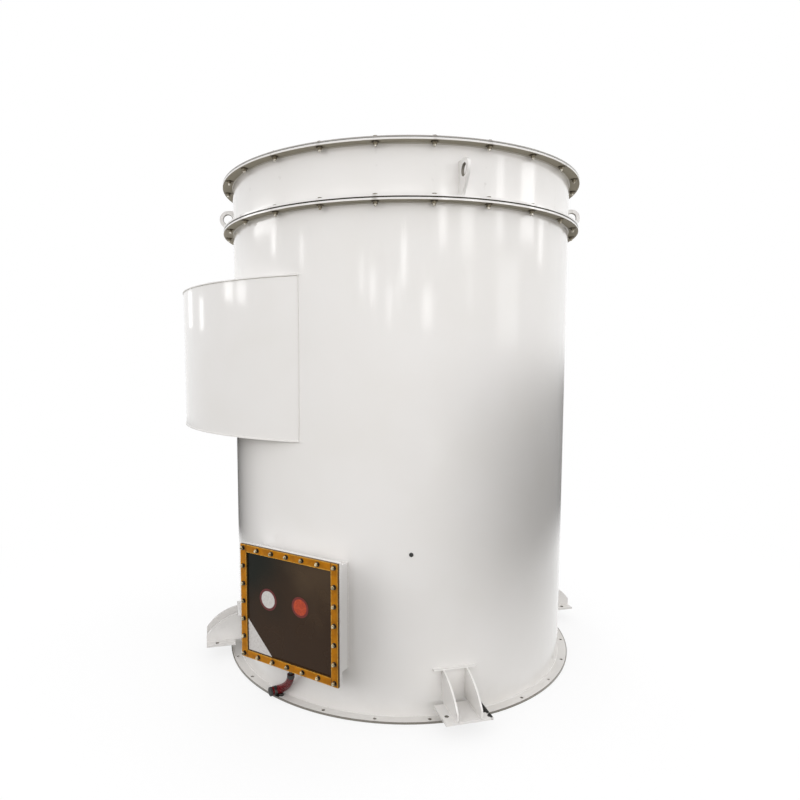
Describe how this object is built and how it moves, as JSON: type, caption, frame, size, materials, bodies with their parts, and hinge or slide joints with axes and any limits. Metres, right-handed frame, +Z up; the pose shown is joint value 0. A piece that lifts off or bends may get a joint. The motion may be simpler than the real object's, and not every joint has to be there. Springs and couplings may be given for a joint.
{
  "type": "pulse dust collector",
  "caption": "Round steel bag filter housing with a scroll inlet, a square explosion vent, support brackets, a flanged plenum ring on top and filter bags inside.",
  "frame": {"origin": "on the vessel's axis, in the underside of the base flange, which stands on the ground", "axes": "+Z up along the vessel's axis, -Y to the front, the inlet's straight duct runs along +Y on the -X side"},
  "size_m": [2.4029, 2.1418, 2.628],
  "materials": {
    "housing_paint": "glossy warm white enamel on sheet steel",
    "clamp_paint": "satin ochre paint on flat bar",
    "zinc_sheet": "dull zinc-coated sheet",
    "filter_felt": "needled polyester felt on a wire cage",
    "seal_rubber": "black sheet rubber",
    "membrane_film": "dark glossy bursting membrane",
    "red_sleeve": "dark red braided plastic sleeve"
  },
  "bodies": {
    "root": {"base_flange": "housing_paint", "body_shell": "housing_paint", "body_top_flange": "housing_paint", "tube_sheet_gasket": "seal_rubber", "tube_sheet": "zinc_sheet", "filter_bags": "filter_felt", "plenum_bottom_flange": "housing_paint", "plenum_shell": "housing_paint", "plenum_top_flange": "housing_paint", "cover_gasket": "seal_rubber", "top_cover": "housing_paint", "cover_ribs": "housing_paint", "outlet_collar": "housing_paint", "outlet_flange": "housing_paint", "lifting_lug_1": "housing_paint", "lifting_lug_2": "housing_paint", "lifting_lug_3": "housing_paint", "lifting_lug_4": "housing_paint", "bracket_plate_1": "housing_paint", "bracket_plate_2": "housing_paint", "bracket_plate_3": "housing_paint", "bracket_plate_4": "housing_paint", "bracket_gussets_1": "housing_paint", "bracket_gussets_2": "housing_paint", "bracket_gussets_3": "housing_paint", "bracket_gussets_4": "housing_paint", "bracket_cap_1": "housing_paint", "bracket_cap_2": "housing_paint", "bracket_cap_3": "housing_paint", "bracket_cap_4": "housing_paint", "inlet_scroll_wall": "housing_paint", "inlet_inner_wall": "housing_paint", "inlet_roof": "housing_paint", "inlet_floor": "housing_paint", "inlet_flange": "housing_paint", "vent_neck": "housing_paint", "vent_flange": "housing_paint", "vent_gasket": "seal_rubber", "vent_membrane": "membrane_film", "vent_clamp_frame": "clamp_paint", "conduit_gland": "zinc_sheet", "sensor_conduit": "red_sleeve", "conduit_clip": "zinc_sheet"}
  },
  "joints": []
}
